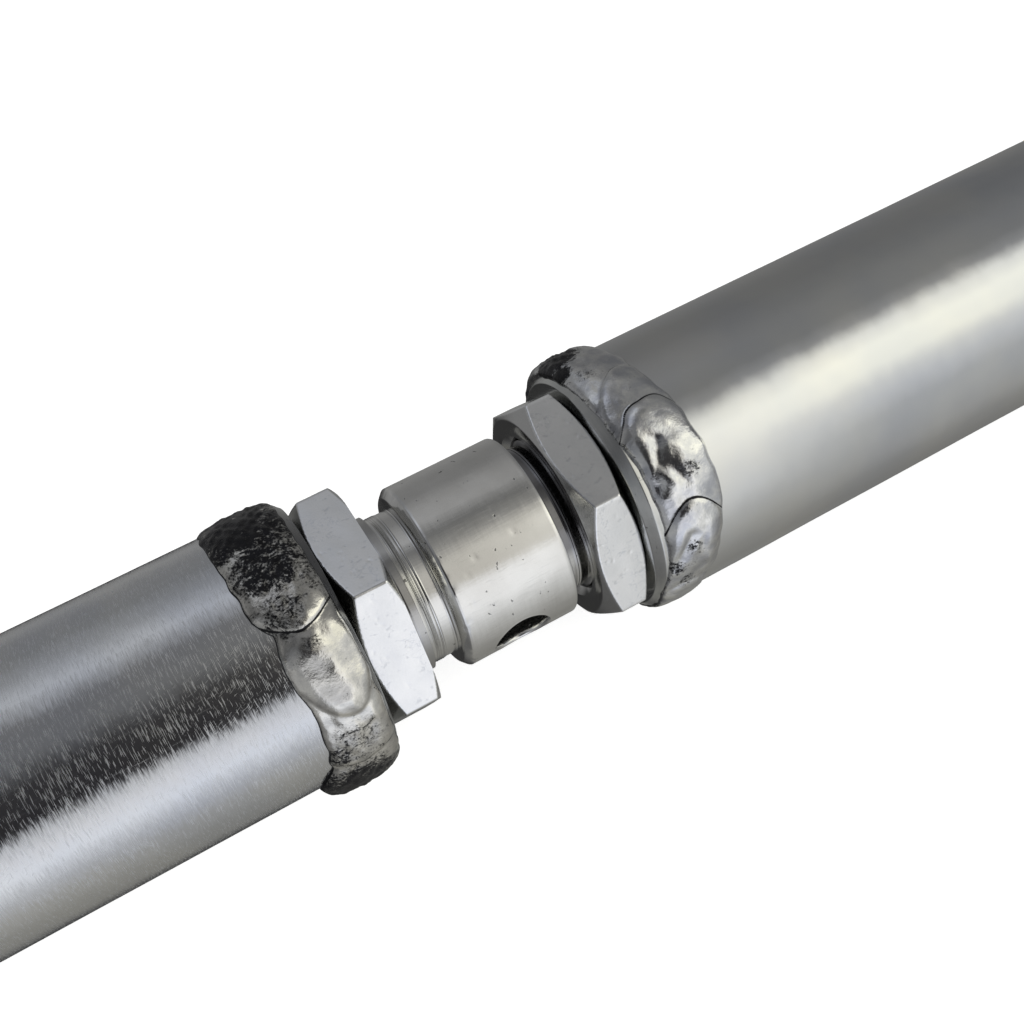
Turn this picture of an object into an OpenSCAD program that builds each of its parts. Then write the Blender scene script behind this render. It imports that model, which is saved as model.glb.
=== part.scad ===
// Length-adjustable link bar: two welded tube halves on a left- and right-hand threaded adjuster.
// X runs along the bar, Z along both eye bores, and the origin is the middle of the whole bar.

/* [Bar] */
// Distance between the two eye centres, with the adjuster screwed in as drawn
eye_distance = 360; // [300:5:480]
// Gap between the collar and the left jam nut
left_gap = 4.8; // [4:0.2:10]
// Gap between the collar and the right jam nut
right_gap = 2.4; // [2:0.2:10]

/* [Tubes and threaded bosses] */
// Outside diameter of the tubes and of the boss lips
tube_d = 32; // [31:0.5:34]
// Wall thickness of the tubes
tube_wall = 2.5; // [2:0.25:3]
// Length of a threaded boss, from its face to its inner end
boss_length = 32; // [31:1:40]
// Length of the boss lip that stands outside the tube
lip_length = 4.5; // [4:0.5:6]
// Depth of the welding groove between lip and tube
groove_depth = 2; // [1:0.5:2]

/* [Welds] */
// Distance from the left boss face to the near edge of its weld
left_weld_start = 0.6; // [0.2:0.1:2]
// Width of the left weld along the bar
left_weld_width = 8.8; // [7.5:0.1:10]
// Distance from the right boss face to the near edge of its weld
right_weld_start = 1.5; // [0.2:0.1:2]
// Width of the right weld along the bar
right_weld_width = 8.6; // [7.5:0.1:10]
// Height of a weld above the tube
weld_height = 1.5; // [1:0.1:2]
// Leg of the fillet weld between tube and eye
eye_weld_leg = 2.2; // [1.5:0.1:2.5]

/* [Adjuster] */
// Nominal diameter of the stud threads
thread_d = 20; // [20:1:20]
// Half the length of the adjuster, from the collar's middle to a stud end
stud_reach = 45; // [42:1:46]
// Collar diameter
collar_d = 23.5; // [23:0.5:25]
// Collar length
collar_length = 15; // [13:1:17]
// Chamfer on the collar's left edge
collar_chamfer = 0.5; // [0.2:0.1:1]
// Diameter of the smooth necks beside the collar
neck_d = 18.8; // [18:0.2:19]
// Length of the left neck
left_neck = 3.1; // [1:0.1:4]
// Length of the right neck
right_neck = 1.3; // [1:0.1:2]
// Diameter of the cross hole for a tommy bar
cross_hole_d = 7; // [5:0.5:8]
// Turn of the cross hole about the bar, from straight up towards -Y
cross_hole_turn = 97; // [0:1:180]

/* [Jam nuts] */
// Width of a jam nut across its flats
nut_flats = 27; // [27:0.5:30]
// Thickness of a jam nut
nut_thickness = 6.2; // [5:0.1:8]
// Depth of a nut's corner chamfer on the boss side
boss_side_chamfer = 1.5; // [0.5:0.1:1.6]
// Depth of the left nut's corner chamfer on the collar side
left_nut_chamfer = 0.8; // [0.3:0.1:1.6]
// Depth of the right nut's corner chamfer on the collar side
right_nut_chamfer = 1.5; // [0.3:0.1:1.6]
// Turn of the left nut's corner about the bar, from straight up towards -Y
left_nut_turn = 18.5; // [0:0.1:60]
// Turn of the right nut's corner about the bar, from straight up towards -Y
right_nut_turn = 30.6; // [0:0.1:60]

/* [Eyes and bushes] */
// Outside diameter of the eye rings
eye_d = 44; // [42:1:50]
// Bore of the eye rings
eye_bore = 36; // [34:1:36]
// Height of the eye rings
eye_height = 38; // [38:1:44]
// Flange diameter of the bush halves
flange_d = 41; // [39:1:42]
// Flange thickness of the bush halves
flange_thickness = 3; // [2:0.5:4]
// Gap between the two halves of a bush
bush_gap = 1; // [0.5:0.5:3]
// Outside diameter of the inner sleeves
sleeve_d = 22; // [20:1:24]
// Bolt bore of the inner sleeves
bolt_bore = 12.2; // [10.2:0.5:14.2]
// How far each end of a sleeve stands above the bush flange
sleeve_stand = 1; // [0.5:0.5:2]

/* [Hidden] */
$fn = 96;

// Radial clearances: thread to thread, spigot to tube, bush to eye, sleeve to bush
thread_play = 0.07;
spigot_play = 0.05;
bush_play = 0.02;
sleeve_play = 0.05;

edge = 0.8;
stud_point = 1.4;
thread_start = 0.6;
far = 2 * eye_distance;

tube_r = tube_d / 2;
tube_bore_r = tube_r - tube_wall;
stud_r = thread_d / 2 - 0.02;
threaded_bore_r = stud_r + thread_play;
neck_r = neck_d / 2;
collar_r = collar_d / 2;
half_collar = collar_length / 2;
nut_corner_r = nut_flats / 2 / cos(30);

// The collar sits off the middle of the bar, because the two gaps differ
collar_x = (left_gap - right_gap) / 2;
left_nut_x = collar_x - half_collar - left_gap;
right_nut_x = collar_x + half_collar + right_gap;
left_face_x = left_nut_x - nut_thickness;
right_face_x = right_nut_x + nut_thickness;
half_reach = eye_distance / 2 - right_face_x;

flange_top = eye_height / 2 + flange_thickness;
sleeve_top = flange_top + sleeve_stand;

// Turns a shape that stands along Z so that it lies along X
module along_x() rotate([0, 90, 0]) children();

// Right half: 0 is the boss face and +X runs out to the eye. The left half is its mirror image.
module right_half() translate([right_face_x, 0, 0]) children();
module left_half() translate([left_face_x, 0, 0]) mirror([1, 0, 0]) children();

module left_eye_place() translate([-eye_distance / 2, 0, 0]) children();
module right_eye_place() translate([eye_distance / 2, 0, 0]) children();

// Tube: bevelled for the weld at the boss, and coped to fit round the eye
module tube() {
    difference() {
        along_x() rotate_extrude()
            polygon([
                [tube_bore_r, lip_length],
                [tube_r - groove_depth, lip_length],
                [tube_r, lip_length + groove_depth],
                [tube_r, half_reach],
                [tube_bore_r, half_reach]
            ]);
        translate([half_reach, 0, 0])
            cylinder(d = eye_d, h = eye_height, center = true);
    }
}

// Threaded boss: a chamfered lip of the tube's diameter, and a spigot inside the tube
module boss() {
    spigot_r = tube_bore_r - spigot_play;
    along_x() rotate_extrude()
        polygon([
            [threaded_bore_r + edge, 0],
            [tube_r - 1, 0],
            [tube_r, 1],
            [tube_r, lip_length - groove_depth],
            [tube_r - groove_depth, lip_length],
            [spigot_r, lip_length],
            [spigot_r, boss_length - edge],
            [spigot_r - edge, boss_length],
            [threaded_bore_r, boss_length],
            [threaded_bore_r, edge]
        ]);
}

// Weld bead round the tube: a segment of a circle over the filled welding groove
module weld(start, width) {
    middle = start + width / 2;
    bead_r = (width * width / 4 + weld_height * weld_height) / (2 * weld_height);
    along_x() rotate_extrude() {
        intersection() {
            translate([tube_r + weld_height - bead_r, middle]) circle(r = bead_r);
            translate([tube_r, start]) square([weld_height, width]);
        }
        polygon([
            [tube_r, lip_length - groove_depth],
            [tube_r, lip_length + groove_depth],
            [tube_r - groove_depth, lip_length]
        ]);
    }
}

// Fillet weld round the coped end of a tube, against the eye ring
module eye_weld() {
    band = tube_r + eye_weld_leg;
    translate([half_reach, 0, 0]) intersection() {
        difference() {
            rotate([0, -90, 0]) cylinder(r = band, h = eye_d);
            rotate([0, -90, 0]) cylinder(r = tube_r, h = far, center = true);
        }
        difference() {
            cylinder(r = eye_d / 2 + 1.6 * eye_weld_leg, h = 2 * band + 2, center = true);
            cylinder(d = eye_d, h = far, center = true);
        }
    }
}

// Eye ring, its axis along Z
module eye() {
    top = eye_height / 2;
    rotate_extrude()
        polygon([
            [eye_bore / 2 + edge / 2, -top],
            [eye_d / 2 - edge, -top],
            [eye_d / 2, edge - top],
            [eye_d / 2, top - edge],
            [eye_d / 2 - edge, top],
            [eye_bore / 2 + edge / 2, top],
            [eye_bore / 2, top - edge / 2],
            [eye_bore / 2, edge / 2 - top]
        ]);
}

// Upper half of a bush: a sleeve inside the eye with a flange on top of it
module bush_half() {
    inner_r = sleeve_d / 2 + sleeve_play;
    outer_r = eye_bore / 2 - bush_play;
    rotate_extrude()
        polygon([
            [inner_r, bush_gap / 2],
            [outer_r - edge, bush_gap / 2],
            [outer_r, bush_gap / 2 + edge],
            [outer_r, eye_height / 2],
            [flange_d / 2, eye_height / 2],
            [flange_d / 2, flange_top - edge],
            [flange_d / 2 - edge, flange_top],
            [inner_r, flange_top]
        ]);
}

// Inner sleeve with the bolt bore
module sleeve() {
    difference() {
        cylinder(d = sleeve_d, h = 2 * sleeve_top, center = true);
        cylinder(d = bolt_bore, h = far, center = true);
    }
}

// Jam nut standing on its collar side at 0 and reaching to its thickness, its axis along X
module jam_nut(turn, collar_side_chamfer) {
    slope = tan(30);
    boss_side_r = nut_corner_r - boss_side_chamfer / slope;
    collar_side_r = nut_corner_r - collar_side_chamfer / slope;
    rotate([turn, 0, 0]) along_x() intersection() {
        cylinder(r = nut_corner_r, h = nut_thickness, $fn = 6);
        rotate_extrude()
            polygon([
                [threaded_bore_r + edge, 0],
                [collar_side_r, 0],
                [nut_corner_r + 0.01, collar_side_chamfer],
                [nut_corner_r + 0.01, nut_thickness - boss_side_chamfer],
                [boss_side_r, nut_thickness],
                [threaded_bore_r + edge, nut_thickness],
                [threaded_bore_r, nut_thickness - edge],
                [threaded_bore_r, edge]
            ]);
    }
}

// Adjuster: one turned piece with a stud at each end, right-hand on the left and left-hand on the
// right, necks, and a collar with a cross hole
module adjuster_shape() {
    difference() {
        along_x() rotate_extrude()
            polygon([
                [0, -stud_reach],
                [stud_r - stud_point, -stud_reach],
                [stud_r, stud_point - stud_reach],
                [stud_r, -half_collar - left_neck - thread_start],
                [neck_r, -half_collar - left_neck],
                [neck_r, -half_collar],
                [collar_r - collar_chamfer, -half_collar],
                [collar_r, collar_chamfer - half_collar],
                [collar_r, half_collar - 0.2],
                [collar_r - 0.2, half_collar],
                [neck_r, half_collar],
                [neck_r, half_collar + right_neck],
                [stud_r, half_collar + right_neck + thread_start],
                [stud_r, stud_reach - stud_point],
                [stud_r - stud_point, stud_reach],
                [0, stud_reach]
            ]);
        rotate([cross_hole_turn, 0, 0])
            cylinder(d = cross_hole_d, h = 2 * collar_d, center = true);
    }
}

module left_tube() color("lightsteelblue") left_half() tube();
module left_boss() color("slategray") left_half() boss();
module left_weld() color("dimgray") left_half() weld(left_weld_start, left_weld_width);
module left_eye() color("silver") left_eye_place() eye();
module left_eye_weld() color("dimgray") left_half() eye_weld();
module left_bush_upper() color("#303030") left_eye_place() bush_half();
module left_bush_lower() color("#303030") left_eye_place() mirror([0, 0, 1]) bush_half();
module left_sleeve() color("gainsboro") left_eye_place() sleeve();
module left_jam_nut() color("lightgray")
    translate([left_nut_x, 0, 0]) mirror([1, 0, 0]) jam_nut(left_nut_turn, left_nut_chamfer);
module adjuster() color("wheat") translate([collar_x, 0, 0]) adjuster_shape();
module right_jam_nut() color("lightgray")
    translate([right_nut_x, 0, 0]) jam_nut(right_nut_turn, right_nut_chamfer);
module right_tube() color("lightsteelblue") right_half() tube();
module right_boss() color("slategray") right_half() boss();
module right_weld() color("dimgray") right_half() weld(right_weld_start, right_weld_width);
module right_eye() color("silver") right_eye_place() eye();
module right_eye_weld() color("dimgray") right_half() eye_weld();
module right_bush_upper() color("#303030") right_eye_place() bush_half();
module right_bush_lower() color("#303030") right_eye_place() mirror([0, 0, 1]) bush_half();
module right_sleeve() color("gainsboro") right_eye_place() sleeve();

left_tube();
left_boss();
left_weld();
left_eye();
left_eye_weld();
left_bush_upper();
left_bush_lower();
left_sleeve();
left_jam_nut();
adjuster();
right_jam_nut();
right_tube();
right_boss();
right_weld();
right_eye();
right_eye_weld();
right_bush_upper();
right_bush_lower();
right_sleeve();
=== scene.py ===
import math

import bpy
import numpy as np
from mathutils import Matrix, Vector

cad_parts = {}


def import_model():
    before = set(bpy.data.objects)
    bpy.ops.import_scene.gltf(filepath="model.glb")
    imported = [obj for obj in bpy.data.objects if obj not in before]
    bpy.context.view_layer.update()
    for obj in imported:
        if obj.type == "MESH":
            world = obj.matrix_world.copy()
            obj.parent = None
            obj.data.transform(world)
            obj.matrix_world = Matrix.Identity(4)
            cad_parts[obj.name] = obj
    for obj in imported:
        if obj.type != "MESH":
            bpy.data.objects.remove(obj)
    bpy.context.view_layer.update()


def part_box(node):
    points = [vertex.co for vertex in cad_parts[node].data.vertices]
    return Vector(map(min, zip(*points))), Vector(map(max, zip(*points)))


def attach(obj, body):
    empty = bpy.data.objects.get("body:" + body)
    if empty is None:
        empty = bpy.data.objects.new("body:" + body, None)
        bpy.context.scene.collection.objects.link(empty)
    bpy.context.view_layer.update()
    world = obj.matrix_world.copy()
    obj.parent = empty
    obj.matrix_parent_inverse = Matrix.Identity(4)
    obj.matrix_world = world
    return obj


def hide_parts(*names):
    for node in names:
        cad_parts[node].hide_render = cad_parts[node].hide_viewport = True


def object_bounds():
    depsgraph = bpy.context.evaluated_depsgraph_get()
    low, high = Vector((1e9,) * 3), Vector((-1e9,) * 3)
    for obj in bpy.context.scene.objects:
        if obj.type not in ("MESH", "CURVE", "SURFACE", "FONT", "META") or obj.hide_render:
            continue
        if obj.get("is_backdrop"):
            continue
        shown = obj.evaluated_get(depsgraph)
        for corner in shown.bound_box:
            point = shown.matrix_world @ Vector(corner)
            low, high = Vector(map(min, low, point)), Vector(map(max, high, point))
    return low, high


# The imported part. All sizes below are in millimetres until a mesh or a place is made, in metres.
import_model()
MM = 0.001


def box_mm(node):
    """Lowest and highest corner of a CAD node, in millimetres."""
    low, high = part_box(node)
    return np.array(low) / MM, np.array(high) / MM


ADJUSTER_LOW, ADJUSTER_HIGH = box_mm("adjuster")
COLLAR_X = (ADJUSTER_LOW[0] + ADJUSTER_HIGH[0]) / 2
STUD_REACH = (ADJUSTER_HIGH[0] - ADJUSTER_LOW[0]) / 2
COLLAR_R = ADJUSTER_HIGH[2]
TUBE_R = box_mm("left_tube")[1][2]
LEFT_FACE = box_mm("left_boss")[1][0]
RIGHT_FACE = box_mm("right_boss")[0][0]
BOSS_LENGTH = box_mm("right_boss")[1][0] - RIGHT_FACE
LIP_LENGTH = box_mm("right_tube")[0][0] - RIGHT_FACE
NUT_THICKNESS = box_mm("right_jam_nut")[1][0] - box_mm("right_jam_nut")[0][0]
EYE_X = sum(box_mm("right_eye")[i][0] for i in (0, 1)) / 2
_, EYE_R, EYE_TOP = box_mm("right_eye")[1]
_, FLANGE_R, FLANGE_TOP = box_mm("right_bush_upper")[1]
_, SLEEVE_R, SLEEVE_TOP = box_mm("right_sleeve")[1]
HALF_REACH = EYE_X - RIGHT_FACE
TUBE_BORE_R = 13.5
SPIGOT_R = TUBE_BORE_R - 0.05
STUD_R = 9.98
BORE_R = 10.05
EYE_BORE_R = 18.0
BOLT_BORE_R = 6.1
THREAD_PITCH = 1.5


# ---- camera, light, floor

def in_scene(name, data):
    """A new object, put in the scene."""
    made = bpy.data.objects.new(name, data)
    bpy.context.scene.collection.objects.link(made)
    return made


def aim(thing, back):
    """Turns a camera or lamp to look against the direction back."""
    thing.rotation_mode = "QUATERNION"
    thing.rotation_quaternion = (-back).to_track_quat("-Z", "Y")


def camera():
    """The photographed view: close above the bar's middle, from the left and the front."""
    azimuth, elevation = math.radians(-30.02), math.radians(61.52)
    back = Vector((
        math.sin(azimuth) * math.cos(elevation),
        -math.cos(azimuth) * math.cos(elevation),
        math.sin(elevation),
    ))
    from_collar = Vector((-31.388, -63.359, 140.333))
    data = bpy.data.cameras.new("camera")
    data.lens = 45.70
    data.sensor_width = 36.0
    data.clip_start = 0.005
    data.clip_end = 50.0
    eye = in_scene("camera", data)
    eye.location = (Vector((COLLAR_X, 0, 0)) + from_collar) * MM
    aim(eye, back)
    bpy.context.scene.camera = eye


# Light round the bar: direction about the bar's axis in degrees, from straight up towards -Y,
# then the red, green and blue light from there, in thousandths. The tables are for directions to
# the left, ahead, to the right, far to the right, and past the bar's left end.
STUDIO_LEFT = [
    (-180, 100, 100, 100), (-170, 40, 40, 40), (-142, 40, 40, 40), (-128, 220, 220, 220),
    (-116, 285, 285, 285), (-96, 215, 217, 225), (-76, 205, 210, 220), (-56, 290, 300, 325),
    (-36, 500, 520, 570), (-16, 178, 180, 190), (6, 170, 173, 180), (26, 42, 41, 43),
    (55, 26, 25, 27), (64, 640, 650, 680), (75, 820, 830, 880), (88, 880, 915, 1000),
    (108, 510, 525, 565), (124, 390, 390, 385), (144, 298, 295, 280), (164, 243, 240, 225),
    (180, 100, 100, 100),
]
STUDIO_MIDDLE = [
    (-180, 240, 240, 225), (-116, 230, 230, 230), (-96, 200, 200, 200), (-76, 210, 210, 212),
    (-56, 300, 300, 300), (-36, 340, 340, 340), (-18, 150, 150, 150), (0, 280, 276, 265),
    (20, 630, 610, 565), (46, 630, 610, 565), (58, 1010, 1010, 1020), (84, 980, 985, 995),
    (104, 690, 695, 695), (124, 450, 450, 440), (144, 300, 298, 284), (164, 243, 240, 225),
    (180, 240, 240, 225),
]
STUDIO_RIGHT = [
    (-180, 220, 220, 210), (-116, 190, 190, 190), (-96, 165, 165, 165), (-76, 170, 170, 172),
    (-56, 205, 205, 208), (-36, 235, 235, 235), (-16, 225, 224, 218), (-2, 320, 318, 310),
    (12, 980, 965, 880), (26, 1180, 1165, 1070), (44, 1060, 1050, 985), (64, 870, 868, 835),
    (84, 730, 735, 730), (104, 510, 515, 510), (124, 390, 390, 375), (144, 298, 295, 280),
    (164, 243, 240, 225), (180, 240, 240, 225),
]
STUDIO_FAR = [
    (-180, 200, 200, 192), (-116, 180, 180, 180), (-96, 160, 161, 163), (-76, 160, 161, 163),
    (-56, 176, 178, 180), (-36, 212, 213, 213), (-16, 232, 232, 228), (-4, 330, 328, 320),
    (8, 1020, 1005, 920), (22, 1280, 1260, 1100), (40, 1180, 1165, 1030), (54, 820, 820, 790),
    (66, 660, 670, 680), (84, 490, 500, 505), (104, 440, 447, 447), (124, 390, 390, 380),
    (144, 290, 288, 276), (164, 235, 232, 220), (180, 200, 200, 192),
]
STUDIO_END = [
    (-180, 45, 44, 45), (-160, 18, 18, 20), (-138, 18, 18, 20), (-126, 240, 240, 243),
    (-100, 240, 242, 246), (-60, 180, 182, 188), (-30, 120, 122, 128), (0, 100, 102, 108),
    (20, 190, 197, 212), (60, 300, 308, 322), (84, 370, 376, 388), (104, 260, 262, 270),
    (150, 130, 130, 130), (172, 130, 130, 130), (180, 45, 44, 45),
]
# How far to the side a table begins to take over from the ones before it, and is alone
STUDIO_ORDER = [
    (0.02, 0.20, STUDIO_MIDDLE), (0.20, 0.38, STUDIO_RIGHT), (0.38, 0.50, STUDIO_FAR),
    (-0.30, -0.50, STUDIO_END),
]
STUDIO_STRENGTH = 1.6


class Value:
    """A node's output. Its sums, differences and products are nodes too."""

    def __init__(self, graph, socket):
        self.graph = graph
        self.socket = socket

    def __add__(self, other):
        return self.graph.math("ADD", self, other)

    def __sub__(self, other):
        return self.graph.math("SUBTRACT", self, other)

    def __mul__(self, other):
        return self.graph.math("MULTIPLY", self, other)


class Graph:
    """A shader node tree, with short names for the nodes it is made of."""

    def __init__(self, tree):
        self.tree = tree

    def put(self, value, socket):
        """Links a value to a socket, or sets the socket to a number or colour."""
        if isinstance(value, Value):
            self.tree.links.new(value.socket, socket)
        elif isinstance(value, tuple) and len(value) == 3 and socket.type == "RGBA":
            socket.default_value = (*value, 1)
        else:
            socket.default_value = value

    def node(self, kind, output, inputs=None, **settings):
        """One output of a new node, with its settings and what goes into its sockets."""
        made = self.tree.nodes.new("ShaderNode" + kind)
        for name, setting in settings.items():
            setattr(made, name, setting)
        for name, value in (inputs or {}).items():
            self.put(value, made.inputs[name])
        return Value(self, made.outputs[output])

    def math(self, operation, first, second=0.0):
        return self.node("Math", 0, {0: first, 1: second}, operation=operation)

    def part(self, vector, axis):
        """One of a vector's three numbers."""
        return self.node("SeparateXYZ", axis, {0: vector})

    def between(self, value, low, high, to_low=0.0, to_high=1.0):
        """value taken from low..high to to_low..to_high, held at both ends."""
        inputs = {"Value": value, "From Min": low, "From Max": high, "To Min": to_low, "To Max": to_high}
        return self.node("MapRange", "Result", inputs, interpolation_type="SMOOTHSTEP")

    def blend(self, factor, first, second):
        return self.node("Mix", "Result", {"Factor": factor, "A": first, "B": second}, data_type="RGBA")


def light_ramp(graph, angle, stops):
    """A colour ramp over the direction about the bar's axis, -180 to 180 degrees."""
    ramp = graph.tree.nodes.new("ShaderNodeValToRGB")
    elements = ramp.color_ramp.elements
    while len(elements) < len(stops):
        elements.new(0.5)
    for element, (degrees, *light) in zip(elements, stops):
        element.position = (degrees + 180) / 360
        element.color = (*(thousandths / 1000 / STUDIO_STRENGTH for thousandths in light), 1)
    graph.put(angle, ramp.inputs["Fac"])
    return Value(graph, ramp.outputs["Color"])


def world():
    """Plain soft studio light: broad bright and dim panels along the bar, and a pale backdrop."""
    scene = bpy.context.scene
    scene.view_settings.view_transform = "Standard"
    scene.world = bpy.data.worlds.new("studio")
    scene.world.use_nodes = True
    graph = Graph(scene.world.node_tree)
    graph.tree.nodes.clear()
    direction = graph.node("TexCoord", "Generated")
    angle = graph.math("ARCTAN2", graph.part(direction, "Y") * -1, graph.part(direction, "Z"))
    sideways = graph.part(direction, "X")
    circle = {"Value": angle, "From Min": -math.pi, "From Max": math.pi}
    around = graph.node("MapRange", "Result", circle)
    light = light_ramp(graph, around, STUDIO_LEFT)
    for start, end, stops in STUDIO_ORDER:
        light = graph.blend(graph.between(sideways, start, end), light, light_ramp(graph, around, stops))
    panels = graph.node("Background", 0, {"Color": light, "Strength": STUDIO_STRENGTH})
    backdrop = graph.node("Background", 0, {"Color": (1.0, 1.0, 1.0)})
    seen = graph.node("LightPath", "Is Camera Ray")
    choice = graph.node("MixShader", 0, {"Fac": seen, 1: panels, 2: backdrop})
    graph.put(choice, graph.tree.nodes.new("ShaderNodeOutputWorld").inputs["Surface"])


def key_light():
    """One large soft lamp overhead. The metal mirrors the studio panels, not this lamp."""
    data = bpy.data.lights.new("key", "AREA")
    data.shape = "DISK"
    data.size = 0.9
    data.energy = 3.0
    lamp = in_scene("key", data)
    lamp.location = (-0.25, -0.2, 0.85)
    aim(lamp, lamp.location)
    lamp.visible_glossy = False


def floor():
    """A plain near-white floor under the sleeves' ends."""
    half = 20.0
    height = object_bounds()[0].z
    mesh = bpy.data.meshes.new("floor")
    corners = [(x * half, y * half, height) for x, y in ((-1, -1), (1, -1), (1, 1), (-1, 1))]
    mesh.from_pydata(corners, [], [(0, 1, 2, 3)])
    plane = in_scene("floor", mesh)
    paint = Paint("floor_paint", metallic=0.0, roughness=0.9)
    paint.finish(paint.blend(paint.noise(6.0, 3.0), (0.93, 0.93, 0.93), (0.95, 0.95, 0.95)))
    paint.shader.inputs["Specular IOR Level"].default_value = 0.0
    paint.shader.inputs["Emission Color"].default_value = (1.0, 1.0, 1.0, 1)
    paint.shader.inputs["Emission Strength"].default_value = 0.68
    mesh.materials.append(paint.material)
    plane.visible_glossy = False
    plane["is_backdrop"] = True


# ---- materials

class Paint(Graph):
    """A material, and the nodes that give it its look."""

    def __init__(self, name, metallic, roughness):
        self.material = bpy.data.materials.new(name)
        self.material.use_nodes = True
        super().__init__(self.material.node_tree)
        self.shader = self.tree.nodes["Principled BSDF"]
        self.shader.inputs["Metallic"].default_value = metallic
        self.shader.inputs["Roughness"].default_value = roughness

    def finish(self, color, roughness=None, normal=None):
        """Puts the look on the shader, and gives the material."""
        for name, value in (("Base Color", color), ("Roughness", roughness), ("Normal", normal)):
            if value is not None:
                self.put(value, self.shader.inputs[name])
        return self.material

    def noise(self, fineness, detail=2.0, roughness=0.5, distortion=0.0, turn=(0, 0, 0)):
        """Noise with about fineness waves to the metre: one number, or one for each axis of the
        piece, turned by degrees."""
        stretch, scale = (fineness, 1.0) if isinstance(fineness, tuple) else ((1, 1, 1), fineness)
        place = self.node("Mapping", "Vector", {
            "Vector": self.node("TexCoord", "Object"),
            "Rotation": [math.radians(angle) for angle in turn],
            "Scale": [1 / factor for factor in stretch],
        }, vector_type="TEXTURE")
        inputs = {"Vector": place, "Scale": scale, "Detail": detail}
        return self.node("TexNoise", "Fac", {**inputs, "Roughness": roughness, "Distortion": distortion})

    def attribute(self, name):
        return self.node("Attribute", "Fac", attribute_name=name)

    def normal(self):
        return self.node("NewGeometry", "Normal")

    def tilt(self, amount):
        """The normal turned about the bar's lengthwise axis by amount, in radians."""
        normal = self.normal()
        side = self.node("VectorMath", "Vector", {0: (1, 0, 0), 1: normal}, operation="CROSS_PRODUCT")
        step = self.node("VectorMath", "Vector", {0: side, "Scale": amount}, operation="SCALE")
        total = self.node("VectorMath", "Vector", {0: normal, 1: step}, operation="ADD")
        return self.node("VectorMath", "Vector", {0: total}, operation="NORMALIZE")

    def bump(self, height, depth_mm, normal=None):
        inputs = {"Strength": 1.0, "Distance": depth_mm * MM, "Height": height}
        if normal is not None:
            inputs["Normal"] = normal
        return self.node("Bump", "Normal", inputs)


def tube_material(name, hairs, waves, scratches, roughness):
    """Zinc plated tube: a slightly wavy bright skin, with rubbed hairs round it and long scratches."""
    paint = Paint(name, 1.0, roughness)
    cloud = paint.noise(70.0, 3.0)
    wave = paint.noise((330, 210, 210), 4.0, 0.55)
    region = paint.noise((90, 160, 160))
    hair = paint.between(paint.noise((10500, 760, 760), 1.0) + region * 0.22, 0.67, 0.76)
    slant = paint.noise((900, 11000, 2000), 1.0, turn=(0, 0, 24))
    slant = paint.between(slant - region * 0.45, 0.45, 0.51)
    long = paint.between(paint.noise((150, 5200, 5200), 1.0), 0.67, 0.71)
    rubbed = paint.math("MAXIMUM", hair, slant * 0.6)
    rubbed = paint.math("MAXIMUM", rubbed * hairs, long * scratches)
    heat = paint.attribute("heat") + paint.noise(2600.0, 3.0) * 0.8
    rubbed = paint.math("MAXIMUM", rubbed, paint.between(heat, 0.50, 1.05))
    tone = paint.blend(paint.between(cloud, 0.3, 0.7), (0.67, 0.685, 0.71), (0.76, 0.76, 0.74))
    color = paint.blend(rubbed * 0.4, tone, (0.90, 0.92, 0.95))
    worn = paint.between(cloud, 0.35, 0.7, roughness * 0.9, roughness * 1.15)
    fine = paint.noise((9000, 700, 700), 1.0)
    lean = (wave - 0.5) * waves + (fine - 0.5) * (0.16 * hairs)
    return paint.finish(color, worn + rubbed * 0.30, paint.tilt(lean))


def turned_material(name, low, high, roughness, scratches):
    """Turned and plated steel, with small cross scratches and pits, and painted shade where the mesh
    says.
    """
    paint = Paint(name, 1.0, roughness)
    cloud = paint.noise(260.0, 4.0)
    across = paint.noise((420, 4200, 4200), 3.0)
    around = paint.noise((4200, 300, 300))
    pit = paint.between(paint.noise((1500, 1100, 1100), 3.0), 0.70, 0.74)
    lengthwise = paint.math("ABSOLUTE", paint.part(paint.normal(), "X"))
    lengthwise = paint.between(lengthwise, 0.15, 0.45, 1.0, 0.0)
    mark = paint.between(across, 0.60, 0.68) * lengthwise
    tone = paint.blend(paint.between(cloud, 0.3, 0.7), low, high)
    # Painted shade: the colour goes near black where the mesh's shade attribute says.
    tone = paint.blend(paint.attribute("oil"), tone, (0.12, 0.12, 0.13))
    color = paint.blend(pit * 0.75, tone, (0.10, 0.10, 0.10))
    turned = paint.tilt((around + across - 1.0) * scratches)
    height = across * (lengthwise * 0.4) - pit
    worn = paint.between(mark, 0.0, 1.0, roughness, roughness * 1.7)
    return paint.finish(color, worn, paint.bump(height, 0.012, turned))


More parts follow.
